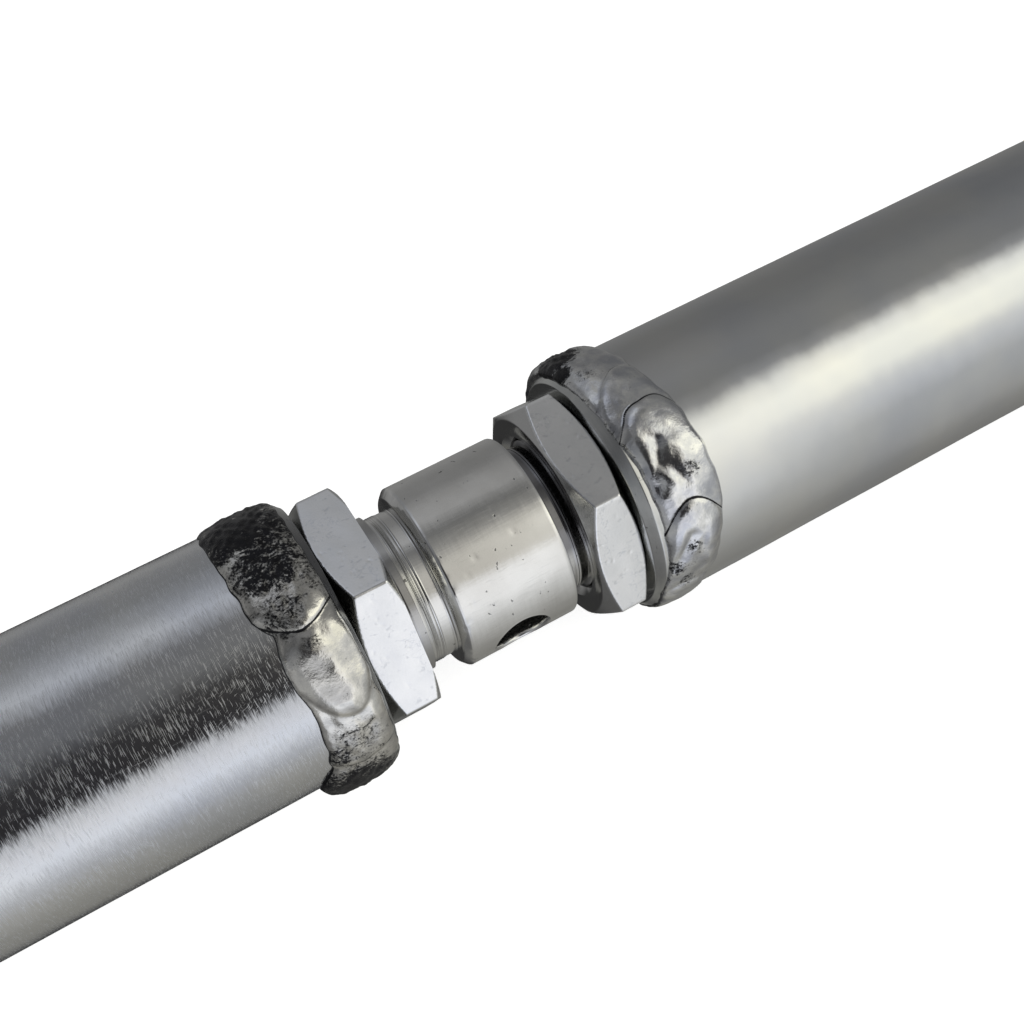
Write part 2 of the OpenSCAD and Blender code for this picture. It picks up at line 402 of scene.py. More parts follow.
def nut_material():
    """Plated hexagon stock: fine grained, matt flats with light scuffs and scribbles, smoother
    turned ends, and painted shade where the mesh says."""
    paint = Paint("nut_zinc", 1.0, 0.36)
    cloud = paint.noise(320.0, 4.0)
    grain = paint.noise(3600.0, 3.0)
    marks = paint.between(paint.noise((900, 1250, 1250), 5.0, 0.6), 0.58, 0.70)
    scribble = paint.math("ABSOLUTE", paint.noise(520.0, 4.0, 0.6) - 0.5)
    rubbed = paint.between(paint.noise(150.0), 0.50, 0.58)
    scribble = paint.between(scribble, 0.0, 0.022, 1.0, 0.0) * rubbed
    ends = paint.attribute("turned")
    tone = paint.blend(paint.between(cloud, 0.3, 0.7), (0.89, 0.90, 0.91), (0.95, 0.955, 0.96))
    tone = paint.blend(marks * 0.55, tone, (0.66, 0.68, 0.71))
    tone = paint.blend(scribble * 0.3, tone, (0.55, 0.59, 0.66))
    tone = paint.blend(ends, tone, (0.66, 0.66, 0.65))
    # Painted shade on the nut's boss side: its colour goes near black where the mesh says.
    color = paint.blend(paint.attribute("oil"), tone, (0.10, 0.10, 0.10))
    matt = paint.between(grain, 0.3, 0.7, 0.15, 0.20)
    return paint.finish(color, matt - ends * 0.06, paint.bump(grain + marks * -0.8, 0.005))


def weld_material(name, tone_low, tone_high):
    """Plated weld: shiny swirled lumps, with matt soot where the mesh says and in specks, and painted
    shade in its creases.
    """
    paint = Paint(name, 1.0, 0.2)
    swirl = paint.noise(420.0, 5.0, 0.6)
    patch = paint.noise((420, 560, 560), 6.0, 0.72, 1.4)
    fine = paint.noise(3600.0, 5.0, 0.65)
    soot = paint.attribute("soot")
    # Soot sits in ragged patches that close up where there is more of it
    ragged = paint.between(soot * 0.55 + patch * 0.90 + fine * 0.70, 0.93, 1.14)
    # Painted shade in the creases at the lumps' feet and along the toes, as dark as the soot.
    crease = paint.between(paint.attribute("crease") + patch * 0.9, 0.85, 1.15)
    soot_and_shade = paint.math("MAXIMUM", ragged, crease)
    clean = paint.blend(paint.between(swirl, 0.35, 0.65), tone_low, tone_high)
    color = paint.blend(soot_and_shade, clean, (0.030, 0.030, 0.033))
    bumps = swirl + fine * 0.05 + patch * soot * 1.6
    return paint.finish(color, paint.between(soot_and_shade, 0.0, 1.0, 0.13, 0.34), paint.bump(bumps, 0.11))


def rubber_material():
    """Matt black moulded rubber with a fine grain and a dusty bloom."""
    paint = Paint("bush_rubber", 0.0, 0.6)
    bloom = paint.between(paint.noise(180.0, 4.0), 0.35, 0.75)
    grain = paint.noise(2600.0, 3.0)
    color = paint.blend(bloom, (0.018, 0.018, 0.019), (0.040, 0.040, 0.042))
    return paint.finish(color, paint.between(grain, 0.3, 0.7, 0.52, 0.70), paint.bump(grain, 0.03))


# ---- mesh helpers

def piece(name, points, faces, body, node, slot, material, sharp=35, **marks):
    """A closed mesh from points in millimetres, riding on a body in place of a CAD node. marks
    become attributes of its points."""
    mesh = bpy.data.meshes.new(name)
    mesh.from_pydata((np.asarray(points) * MM).tolist(), [], faces)
    mesh.validate()
    outward(mesh)
    mesh.shade_smooth()
    mesh.set_sharp_from_angle(angle=math.radians(sharp))
    for label, values in marks.items():
        layer = mesh.attributes.new(label, "FLOAT", "POINT")
        layer.data.foreach_set("value", np.asarray(values, np.float32).ravel())
    mesh.materials.append(material)
    made = in_scene(name, mesh)
    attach(made, body)
    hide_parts(node)


def outward(mesh):
    """Turns all faces of a closed mesh to face out: its signed volume tells which way they are."""
    corners = np.zeros(len(mesh.vertices) * 3)
    mesh.vertices.foreach_get("co", corners)
    corners = corners.reshape(-1, 3)
    mesh.calc_loop_triangles()
    triangles = np.zeros(len(mesh.loop_triangles) * 3, np.int32)
    mesh.loop_triangles.foreach_get("vertices", triangles)
    a, b, c = (corners[triangles.reshape(-1, 3)[:, k]] for k in range(3))
    if np.einsum("ij,ij->i", a, np.cross(b, c)).sum() < 0:
        mesh.flip_normals()


def around_bar(along, turn, radius):
    """Points round the bar's axis: turn is in radians, from straight up towards -Y."""
    along, turn, radius = np.broadcast_arrays(along, turn, radius)
    return np.stack([along, -radius * np.sin(turn), radius * np.cos(turn)], -1).reshape(-1, 3)


def ring_faces(rows, columns):
    """Quads of a grid closed both ways: round the axis, and from the last row to the first."""
    row = np.arange(rows)[:, None]
    column = np.arange(columns)[None, :]
    below, beside = (row + 1) % rows, (column + 1) % columns
    quads = np.stack(np.broadcast_arrays(
        row * columns + column, below * columns + column,
        below * columns + beside, row * columns + beside,
    ), -1)
    return quads.reshape(-1, 4).tolist()


def rounded(corners, longest):
    """Closed profile through corners (along, radius, cut). Each corner is turned by a short arc
    that starts and ends cut away from it, and no straight piece is longer than longest."""
    count = len(corners)
    line = []
    for i, (along, radius, cut) in enumerate(corners):
        here = np.array([along, radius], float)
        before = np.array(corners[i - 1][:2], float) - here
        after = np.array(corners[(i + 1) % count][:2], float) - here
        cut_before = min(cut, 0.45 * np.linalg.norm(before))
        cut_after = min(cut, 0.45 * np.linalg.norm(after))
        start = here + before / np.linalg.norm(before) * cut_before
        end = here + after / np.linalg.norm(after) * cut_after
        for t in ((0, 0.25, 0.5, 0.75, 1) if cut else (0,)):
            line.append((1 - t) ** 2 * start + 2 * t * (1 - t) * here + t * t * end)
    line = np.array(line)
    dense = []
    for here, there in zip(line, np.roll(line, -1, axis=0)):
        parts = max(1, math.ceil(np.linalg.norm(there - here) / longest))
        dense.extend(here + (there - here) * k / parts for k in range(parts))
    return np.array(dense)


def turns(columns):
    """Angles of the columns round an axis, in radians."""
    return np.arange(columns) * 2 * math.pi / columns


def unevenness(along, turn, seed, wavelength, amount, most_turns=4, count=14):
    """Smooth seeded waves along and round an axis, about amount high."""
    rng = np.random.default_rng(seed)
    total = np.zeros(np.broadcast(along, turn).shape)
    for _ in range(count):
        length = wavelength * rng.uniform(0.6, 1.8)
        lobes = rng.integers(-most_turns, most_turns + 1)
        total = total + np.cos(2 * math.pi * along / length + lobes * turn + rng.uniform(0, 2 * math.pi))
    return amount * total / math.sqrt(count)


def smooth_step(value):
    value = np.clip(value, 0, 1)
    return value * value * (3 - 2 * value)


def near_top(turn, end, fade):
    """1 on top of the bar, fading to 0 at end degrees down both its sides."""
    degrees = np.degrees(np.arctan2(np.sin(turn), np.cos(turn)))
    return smooth_step((end - np.abs(degrees)) / fade)


def on_side(side, reach):
    """Place along the bar of a reach from a boss face, towards that side's eye."""
    return LEFT_FACE - reach if side == "left" else RIGHT_FACE + reach


def half_piece(side, part, suffix, slot, reach, turn, radius, material, sharp=35, **marks):
    """A closed mesh round the bar on one of its halves, as rows of reach from the boss face."""
    points = around_bar(on_side(side, reach), turn, radius)
    piece(f"{side}_{part}_{suffix}", points, ring_faces(*radius.shape), f"{side}_half",
          f"{side}_{part}", slot, material, sharp, **marks)


# ---- the two halves

def tube(side, weld_toe, material):
    """Tube from the weld to the eye, coped to the eye ring, slightly uneven, and matt by the weld."""
    columns = 192
    turn = turns(columns)[None, :]
    groove = 2.0
    embed = 0.25
    fringe = 3.2
    share = np.concatenate([np.linspace(0, 0.1, 28), np.linspace(0.11, 1, 62)])[:, None]

    def cope(radius):
        return HALF_REACH - np.sqrt(EYE_R ** 2 - (radius * np.sin(turn)) ** 2) + embed

    start = LIP_LENGTH + groove
    outer = start + share * (cope(TUBE_R) - start)
    wobble = unevenness(outer, turn, 11 if side == "left" else 12, 26.0, 0.012)
    outer_r = TUBE_R + wobble * smooth_step((outer - start) / 8)
    inner = cope(TUBE_BORE_R) + np.linspace(0, 1, 12)[:, None] * (LIP_LENGTH - cope(TUBE_BORE_R))
    inner_r = np.full_like(inner, TUBE_BORE_R)
    land = np.full((1, columns), LIP_LENGTH)
    reach = np.concatenate([outer, inner, land])
    radius = np.concatenate([outer_r, inner_r, np.full_like(land, TUBE_R - groove)])
    heat = 1 - smooth_step((reach - around_table(weld_toe, np.degrees(turn))) / fringe)
    half_piece(side, "tube", "drawn", "tube_zinc", reach, turn, radius, material, heat=heat)


def boss(side, material):
    """Threaded boss: faced and chamfered lip with turning grooves, and a spigot in the tube. The
    left one's lip is darkened by painted shade, most on top."""
    turn = turns(168)[None, :]
    corners = [
        (0, BORE_R + 0.8, 0.1), (0, TUBE_R - 1.0, 0.12), (1.0, TUBE_R, 0.15),
        (LIP_LENGTH - 2.0, TUBE_R, 0.1), (LIP_LENGTH, TUBE_R - 2.0, 0), (LIP_LENGTH, SPIGOT_R, 0),
        (BOSS_LENGTH - 0.8, SPIGOT_R, 0.2), (BOSS_LENGTH, SPIGOT_R - 0.8, 0.2),
        (BOSS_LENGTH, BORE_R + 0.6, 0.1), (BOSS_LENGTH - 0.6, BORE_R, 0.1), (0.8, BORE_R, 0.1),
    ]
    line = rounded(corners, 0.35)
    reach, radius = line[:, :1], line[:, 1:]
    depth, pitch = 0.012, 0.55
    cut = depth * np.sin(reach * 2 * math.pi / pitch + 1.0) * smooth_step((radius - 12) / 2)
    radius = radius + cut + np.zeros_like(turn)
    lip = (reach < LIP_LENGTH) * (radius > BORE_R + 1) * (side == "left")
    # Painted shade on the left lip, in the dark gap between weld and nut, strongest on top.
    oil = lip * (0.30 + 0.50 * near_top(turn, 48, 40))
    half_piece(side, "boss", "turned", "boss_zinc", reach, turn, radius, material, oil=oil)


# A weld is laid in overlapping lumps. direction: which way round the bar they follow each other.
# front: where each lump ends, as degrees round the bar and mm from the boss face, how far its edge
# falls back towards both toes, how high it stands there, and how dark the painted shade in the crease at
# its foot is.
# near, far: toes at degrees round the bar. crown: height of the bead. mark: long hollows and ridges,
# (from, to) as (mm, degrees) with a width and a height. soot: patches (mm, degrees, size, amount).
# rims: how dark the painted shade along the near and the far toe is.
LEFT_WELD = {
    "direction": 1,
    "front": [
        (-150, 5, 3, 0.5, 0.8), (-112, 5, 3, 0.5, 0.8), (-72, 6, 3, 0.5, 0.8), (-14, 6, 2, 0.16, 0),
        (20.6, 4.6, 2.6, 0.8, 1), (58, 3.8, 5.5, 0.45, 0.2), (84, 4.6, 1.8, 0.5, 0.7),
        (122, 5, 3, 0.6, 1), (165, 5, 3, 0.6, 0.8),
    ],
    "near": [
        (-150, 0.6), (-90, 0.9), (-39, 1), (0, 0.8), (25, 0.5), (40, 0.3), (70, 0.4), (100, 0.3),
        (140, 0.6),
    ],
    "far": [
        (-160, 9.2), (-120, 9), (-80, 9.8), (-40, 10.1), (-10, 9.7), (10, 9.2), (18, 7.9), (32, 8.6),
        (41, 8.3), (50, 7.7), (62, 7.9), (76, 8.1), (84, 8.3), (96, 9.9), (108, 10.4), (125, 9.6),
        (150, 9),
    ],
    "crown": [
        (-160, 1.1), (-66, 0.75), (-20, 0.9), (30, 1.15), (60, 1.1), (84, 1.1), (108, 1.7), (130, 1.4),
    ],
    "mark": [
        ((7.4, 27), (2.2, 24), 2.6, 0.62), ((7.9, 34), (6.4, 58), 0.8, -0.2),
        ((4, 30), (3.4, 50), 1.2, 0.2), ((1.1, 46), (1.6, 62), 1, 0.22),
        ((6.6, 62), (6, 76), 1.2, -0.25), ((3, 66), (3.6, 78), 0.8, -0.18),
    ],
    "rims": (0.85, 0.95),
    # The patch at 71 degrees, 4.4 mm out, is painted shade on a sunken stretch. The patches at -28 and
    # -2 degrees, near the boss, are soot carried on as painted shade beside the nut.
    "soot": [
        (5, -62, 7, 0.85), (6.5, -35, 6, 0.8), (5, -8, 5, 0.62), (6, 12, 3.4, 0.42),
        (1.6, -28, 4.6, 0.7), (1.4, -2, 3.4, 0.46), (2.2, 4, 2.4, 0.25), (4.6, 26, 1.3, 0.33),
        (4.4, 71, 3.6, 0.36), (7.4, 75, 2.2, 0.5), (6, 103, 5.6, 0.8), (5, 128, 6, 0.6),
    ],
}
RIGHT_WELD = {
    "direction": -1,
    "front": [
        (-165, 5, 3, 0.5, 0.8), (-128, 5, 3, 0.5, 0.8), (-92, 5, 3, 0.5, 0.8), (-55, 5, 3, 0.4, 0.3),
        (-19, 6.6, 3.2, 0.5, 0.6), (0, 5.8, 3.4, 0.85, 1), (43.5, 5.4, 4.6, 0.65, 1),
        (84, 3.6, 3, 0.45, 0.5), (120, 5, 3, 0.5, 0.8), (158, 5, 3, 0.5, 0.8),
    ],
    "near": [
        (-160, 1), (-80, 0.4), (-35, 0.3), (-8, 0.7), (13, 1.1), (25, 1.6), (45, 1.8), (72, 1.3),
        (91, 0.5), (130, 0.9),
    ],
    "far": [
        (-160, 9), (-110, 9), (-60, 7.4), (-35, 7.8), (-12, 8.5), (3, 9.4), (22, 9.9), (38, 10.2),
        (50, 9.7), (65, 8.8), (83, 7.7), (92, 6.4), (110, 6.6), (140, 8.8),
    ],
    "crown": [
        (-160, 1.1), (-66, 1.15), (-20, 1.1), (30, 1.25), (60, 1.1), (90, 0.6), (112, 0.35), (140, 0.9),
    ],
    "mark": [
        ((4.6, 18), (2.4, 36), 0.8, -0.22), ((6.8, 22), (7.4, 40), 1.3, 0.22),
        ((4.4, 58), (1.6, 72), 0.7, -0.3), ((6.9, 56), (6.2, 72), 1.1, 0.28),
    ],
    "rims": (0, 0.95),
    "soot": [
        (1.6, -46, 3.4, 1), (0.8, -32, 1.5, 0.9), (4.5, -64, 4, 0.9), (2.5, -24, 1.4, 0.35),
        (6.8, 33, 1.1, 0.45), (4.3, 63, 1.3, 0.4), (2, 72, 1.2, 0.42), (3.3, 82, 1.2, 0.38),
        (3.1, 30, 0.9, 0.35),
    ],
}


def around_table(rows, degrees):
    """A table of (degrees, value), read round the bar."""
    keys = np.array(rows, float)
    return np.interp(degrees, keys[:, 0], keys[:, 1], period=360)


def arc_mm(degrees, others):
    """Distance round the bead between two angles, in millimetres, the short way."""
    return ((degrees - others + 180) % 360 - 180) * math.pi / 180 * (TUBE_R + 1)


def mark_distance(reach, degrees, start, end):
    """Distance of points on the bead from a line between two (mm, degrees) places."""
    x, y = reach - start[0], arc_mm(degrees, start[1])
    run, rise = end[0] - start[0], arc_mm(end[1], start[1])
    share = np.clip((x * run + y * rise) / (run * run + rise * rise), 0, 1)
    return np.hypot(x - share * run, y - share * rise)


def lumps(reach, degrees, spec, jitter):
    """Height of the overlapping lumps above the bead's crown, and the painted shade in the crease at
    each lump's foot.
    """
    circle = 2 * math.pi * (TUBE_R + 1)
    half_width, lip_width, crease_width = 4.5, 2.3, 0.2
    ahead = behind = nearest = np.full(reach.shape, circle)
    stand = shade_amount = np.zeros(reach.shape)
    for angle, middle, fall, step, black in spec["front"]:
        edge = fall * ((reach - middle) / half_width) ** 2 + jitter
        edge = spec["direction"] * arc_mm(degrees, angle) + edge
        gap = (-edge) % circle
        stand = np.where(gap < ahead, step, stand)
        ahead = np.minimum(ahead, gap)
        behind = np.minimum(behind, edge % circle)
        distance = np.minimum(1.3 * gap, edge % circle)
        shade_amount = np.where(distance < nearest, black, shade_amount)
        nearest = np.minimum(nearest, distance)
    lip = np.sqrt(1 - (1 - np.clip(ahead / lip_width, 0, 1)) ** 2)
    back = 1 - 0.95 * ahead / (ahead + behind)
    # Painted shade in the crease at each lump's foot.
    crease = shade_amount * np.exp(-(nearest / crease_width) ** 2)
    return stand * lip * back, crease


def blur(grid, passes):
    """Softens a grid that is closed round its columns."""
    for _ in range(passes):
        grid = 0.5 * grid + 0.25 * (np.roll(grid, 1, axis=1) + np.roll(grid, -1, axis=1))
        inner = 0.5 * grid[1:-1] + 0.25 * (grid[:-2] + grid[2:])
        grid = np.concatenate([grid[:1], inner, grid[-1:]])
    return grid


def weld(side, spec, seed, material):
    """Weld bead of overlapping lumps between a boss and its tube."""
    columns, rows = 720, 64
    turn = turns(columns)[None, :]
    degrees = np.degrees(turn)
    ragged = unevenness(0 * turn, turn, seed, 1.0, 0.10, 40, 30)
    near = around_table(spec["near"], degrees) + 0.6 * ragged
    far = around_table(spec["far"], degrees) + np.roll(ragged, 57, axis=1)
    across = (1 - np.cos(np.linspace(0, math.pi, rows)))[:, None] / 2
    reach = near + across * (far - near)
    off_middle = np.abs(2 * across - 1)
    from_toe = np.minimum(across, 1 - across)
    bead = around_table(spec["crown"], degrees) * (1 - off_middle ** 2.2) ** 0.5
    jitter = unevenness(reach, turn, seed + 1, 5.0, 0.12, 30, 30)
    raised, crease = lumps(reach, degrees, spec, jitter)
    raised = raised * (1 - off_middle ** 4) ** 0.5
    # Painted shade along both toes, in the crease between bead and tube.
    for dark, share in zip(spec["rims"], (across, 1 - across)):
        crease = np.maximum(crease, dark * (1 - smooth_step(share / 0.035)))
    for start, end, width, amount in spec["mark"]:
        distance = mark_distance(reach, degrees, start, end)
        raised = raised + amount * np.exp(-(distance / width) ** 2) * (1 - off_middle ** 6)
    raised = raised + unevenness(reach, turn, seed + 2, 3.0, 0.045, 36, 40) * (1 - off_middle ** 2)
    top = TUBE_R - 0.06 + blur(bead + raised, 2)
    soot = 0.25 * (1 - smooth_step(from_toe / 0.08))
    for middle, angle, size, amount in spec["soot"]:
        distance = np.hypot(reach - middle, arc_mm(degrees, angle))
        soot = np.maximum(soot, amount * np.exp(-(distance / size) ** 4))
    crust = unevenness(reach, turn, seed + 3, 1.6, 0.09, 60, 50)
    top = top + crust * soot * smooth_step(from_toe / 0.1)
    reach = np.concatenate([reach, far - 0.3, near + 0.3])
    root = np.full((2, columns), TUBE_R - 1.0)
    radius = np.concatenate([top, root])
    half_piece(side, "weld", "bead", "weld", reach, turn, radius, material, 60,
               soot=np.concatenate([soot, 0 * root]), crease=np.concatenate([crease, 0 * root]))


def eye_weld(side, seed, material):
    """Fillet bead along the coped joint of tube and eye, with regular ripples."""
    columns, rows = 420, 18
    turn = turns(columns)[None, :]
    degrees = np.degrees(turn)
    leg = 2.0 + unevenness(0 * turn, turn, seed, 1.0, 0.12, 20, 20)

    def eye_surface(radius):
        return HALF_REACH - np.sqrt(EYE_R ** 2 - (radius * np.sin(turn)) ** 2)

    share = np.linspace(0, 1, rows)[:, None]
    toe_reach, toe_radius = eye_surface(TUBE_R) - 1.5 * leg, TUBE_R - 0.05
    top_radius = TUBE_R + 1.05 * leg
    top_reach = eye_surface(top_radius) + 0.1
    spacing = 12.0
    sway = 1.8 * (share - 0.5) ** 2 + 0.15 * unevenness(share, turn, seed + 1, 1.0, 1.0)
    ripple = (degrees / spacing + sway) % 1
    swell = np.sin(math.pi * share)
    proud = swell * (0.22 * leg + 0.22 * np.sqrt(ripple))
    reach = toe_reach + share * (top_reach - toe_reach) - proud * 0.75
    radius = toe_radius + share * (top_radius - toe_radius) + proud * 0.65
    # Painted shade in the crease at the start of each ripple.
    crease = np.concatenate([0.7 * np.exp(-ripple / 0.05), np.zeros((1, columns))])
    reach = np.concatenate([reach, eye_surface(TUBE_R - 0.8) + 0.4])
    radius = np.concatenate([radius, np.full((1, columns), TUBE_R - 0.8)])
    half_piece(side, "eye_weld", "bead", "weld", reach, turn, radius, material, 60, crease=crease)


def lathe_on_eye(side, part, suffix, slot, material, body, corners, longest, columns, wobble_seed=None):
    """A turned piece on an eye's axis, from a rounded profile of (height, radius, cut)."""
    middle_x = EYE_X if side == "right" else -EYE_X
    line = rounded(corners, longest)
    turn = turns(columns)[None, :]
    height, radius = line[:, :1] + 0 * turn, line[:, 1:] + 0 * turn
    if wobble_seed is not None:
        radius = radius + unevenness(height, turn, wobble_seed, 9.0, 0.010, 6)
    points = np.stack([middle_x + radius * np.cos(turn), radius * np.sin(turn), height], -1)
    piece(f"{side}_{part}_{suffix}", points.reshape(-1, 3), ring_faces(*radius.shape), f"{side}_{body}",
          f"{side}_{part}", slot, material)


def eye_end(side, eye_material, rubber, sleeve_material):
    """Eye ring with its two flanged bush halves and the inner sleeve."""
    eye_corners = [
        (-EYE_TOP, EYE_BORE_R + 0.4, 0.15), (-EYE_TOP, EYE_R - 0.8, 0.3), (-EYE_TOP + 0.8, EYE_R, 0.3),
        (EYE_TOP - 0.8, EYE_R, 0.3), (EYE_TOP, EYE_R - 0.8, 0.3), (EYE_TOP, EYE_BORE_R + 0.4, 0.15),
        (EYE_TOP - 0.4, EYE_BORE_R, 0.15), (-EYE_TOP + 0.4, EYE_BORE_R, 0.15),
    ]
    lathe_on_eye(side, "eye", "ring", "eye_zinc", eye_material, "half", eye_corners, 1.5, 180, 31)
    inner, outer, split = SLEEVE_R + 0.05, EYE_BORE_R - 0.02, 0.5
    lip, dish = FLANGE_R - 4.0, FLANGE_TOP - 0.5
    for level, sign in (("upper", 1), ("lower", -1)):
        corners = [
            (split, inner, 0.1), (split, outer - 0.8, 0.2), (split + 0.8, outer, 0.2),
            (EYE_TOP, outer, 0), (EYE_TOP, FLANGE_R, 0.25), (EYE_TOP + 1.3, FLANGE_R, 0.05),
            (EYE_TOP + 1.5, FLANGE_R - 0.12, 0.05), (EYE_TOP + 1.7, FLANGE_R, 0.05),
            (FLANGE_TOP - 0.2, FLANGE_R, 0.9), (FLANGE_TOP, FLANGE_R - 0.6, 0.4),
            (FLANGE_TOP, lip, 0.2), (dish, lip - 0.5, 0.2), (dish, lip - 1.3, 0.2),
            (FLANGE_TOP, lip - 1.8, 0.2), (FLANGE_TOP, inner, 0.2),
        ]
        corners = [(sign * height, radius, cut) for height, radius, cut in corners]
        lathe_on_eye(side, f"bush_{level}", "moulded", "rubber", rubber, "half", corners, 2.0, 144)
    mouth_r, edge_r, edge = BOLT_BORE_R + 0.5, SLEEVE_R - 0.5, SLEEVE_TOP - 0.5
    sleeve_corners = [
        (-SLEEVE_TOP, mouth_r, 0.1), (-SLEEVE_TOP, edge_r, 0.12), (-edge, SLEEVE_R, 0.12),
        (edge, SLEEVE_R, 0.12), (SLEEVE_TOP, edge_r, 0.12), (SLEEVE_TOP, mouth_r, 0.1),
        (edge, BOLT_BORE_R, 0.1), (-edge, BOLT_BORE_R, 0.1),
    ]
    lathe_on_eye(side, "sleeve", "turned", "sleeve_zinc", sleeve_material, "sleeve", sleeve_corners,
                 2.0, 144)


# ---- jam nuts

NUT_FLAT = 13.5


def soft_least(values, sharpness):
    """The least of several arrays, rounded where two of them meet."""
    return -np.log(sum(np.exp(-sharpness * (v - values[0])) for v in values)) / sharpness + values[0]


def nut_radius(depth, turn, corner, chamfer_front, chamfer_back):
    """Outside of a hexagon nut with both ends turned to 30 degree cones, edges slightly rounded."""
    crispness = 240
    planes = sum(
        np.clip(np.cos(turn - corner - math.radians(30 + 60 * k)), 0, 1) ** crispness for k in range(6)
    )
    hexagon = NUT_FLAT / planes ** (1 / crispness)
    corner_r = NUT_FLAT / math.cos(math.radians(30))
    slope = math.sqrt(3)
    front = corner_r + (depth - chamfer_front) * slope
    back = corner_r + (NUT_THICKNESS - depth - chamfer_back) * slope
    return soft_least([hexagon + 0 * depth, front + 0 * turn, back + 0 * turn], 22.0)


def dents(along, across, seed, count, span_along, span_across, size, depth):
    """Small seeded dents over a patch, as a height to take off."""
    rng = np.random.default_rng(seed)
    total = np.zeros(np.broadcast(along, across).shape)
    for _ in range(count):
        a = rng.uniform(*span_along)
        b = rng.uniform(*span_across)
        long, wide = size * rng.uniform(0.6, 2.2), size * rng.uniform(0.4, 1.0)
        lean = rng.uniform(0, math.pi)
        u = (along - a) * math.cos(lean) + (across - b) * math.sin(lean)
        v = -(along - a) * math.sin(lean) + (across - b) * math.cos(lean)
        total = total + depth * rng.uniform(0.4, 1.0) * np.exp(-(u / long) ** 2 - (v / wide) ** 2)
    return total


def jam_nut(side, corner_degrees, collar_chamfer, boss_chamfer, seed, material):
    """Thin hexagon nut, its collar side at depth 0, with painted shade on its boss side."""
    columns = 540
    turn = turns(columns)[None, :]
    corner = math.radians(corner_degrees)
    fine = np.concatenate([
        np.linspace(0.02, 1.9, 20), np.linspace(2.05, NUT_THICKNESS - 2.05, 14),
        np.linspace(NUT_THICKNESS - 1.9, NUT_THICKNESS - 0.02, 20),
    ])[:, None]
    side_r = nut_radius(fine, turn, corner, collar_chamfer, boss_chamfer)
    arc = turn * NUT_FLAT
    inside = (0.8, NUT_THICKNESS - 0.8)
    nicks = dents(fine, arc, seed, 46, inside, (0, 2 * math.pi * NUT_FLAT), 0.16, 0.035)
    side_r = side_r - nicks + unevenness(fine, turn, seed + 1, 4.0, 0.006, 18)
    front_r, back_r = side_r[:1] - 0.02, side_r[-1:] - 0.02
    mouth = 0.8
    mouth_r = BORE_R + mouth
    flat = np.zeros((1, columns))
    front = [
        (0.55 * mouth, BORE_R + 0.35), (0.06, mouth_r), (0, mouth_r + 0.1),
        (0, (front_r + mouth_r) / 2), (0, front_r - 0.1),
    ]
    back = [
        (NUT_THICKNESS, back_r - 0.1), (NUT_THICKNESS, (back_r + mouth_r) / 2),
        (NUT_THICKNESS, mouth_r + 0.1), (NUT_THICKNESS - 0.06, mouth_r),
        (NUT_THICKNESS - mouth, BORE_R), (mouth, BORE_R),
    ]
    rows = front + [(fine, side_r)] + back
    depth = np.concatenate([flat + row[0] for row in rows])
    radius = np.concatenate([flat + row[1] for row in rows])
    ends = np.ones(depth.shape)
    unturned = nut_radius(fine, turn, corner, -50, -50)
    ends[len(front):-len(back)] = smooth_step((unturned - side_r - 0.12) / 0.15)
    # Painted shade on the turned end that faces the weld, strongest on top.
    oil = ends * (depth > NUT_THICKNESS / 2) * (0.25 + 0.45 * near_top(turn, 48, 40))
    points = around_bar(on_side(side, depth - NUT_THICKNESS), turn, radius)
    piece(f"{side}_jam_nut_hex", points, ring_faces(*radius.shape),
          f"{side}_jam_nut", f"{side}_jam_nut", "nut_zinc", material, turned=ends, oil=oil)


# ---- adjuster

COLLAR_HALF = 7.5
NECK_R = 9.4
LEFT_NECK_END = -COLLAR_HALF - 3.1
RIGHT_NECK_END = COLLAR_HALF + 2.9
STUD_COLUMNS = 108
COLLAR_COLUMNS = 216
HOLE_R = 3.5
HOLE_TURN = 97
HOLE_HALF = 4.8
ROW_STEP = 0.3
# (inset from the collar's face, radius) of the rows over its two edges, from left to right
COLLAR_LEFT_EDGE = [
    (-0.1, NECK_R), (-0.02, NECK_R + 0.06), (0, NECK_R + 0.2), (0, 9.9), (0, 10.3), (0, 10.62),
    (0.02, 10.78), (0.12, 10.94), (0.32, 11.17), (0.52, 11.39), (0.68, 11.56), (0.82, 11.68),
]
COLLAR_RIGHT_EDGE = [
    (0.17, COLLAR_R - 0.02), (0.05, COLLAR_R - 0.09), (0, COLLAR_R - 0.25), (0, 11.0), (0, 10.4),
    (0, 9.8), (0, NECK_R + 0.2), (-0.02, NECK_R + 0.06), (-0.1, NECK_R),
]


def thread_radius(along, turn):
    """Outside of a stud with a right-hand 60 degree thread."""
    phase = (along / THREAD_PITCH - turn / (2 * math.pi)) % 1
    ramp = 1 - np.abs(2 * phase - 1)
    depth = 0.9
    return STUD_R - depth + depth * smooth_step((ramp - 0.16) / 0.66)


def neck_radius(along):
    """Smooth turned radius of both necks, with the finer tool rings beside the threads."""
    left = smooth_step((-8.9 - along) / 0.25) * (along < 0)
    rings = 0.045 * np.cos(2 * math.pi * (along + 10.35) / 0.27)
    right = sum(0.07 * np.exp(-((along - COLLAR_HALF - at) / 0.07) ** 2) for at in (1.50, 1.80))
    return NECK_R + left * (rings + 0.05) + right


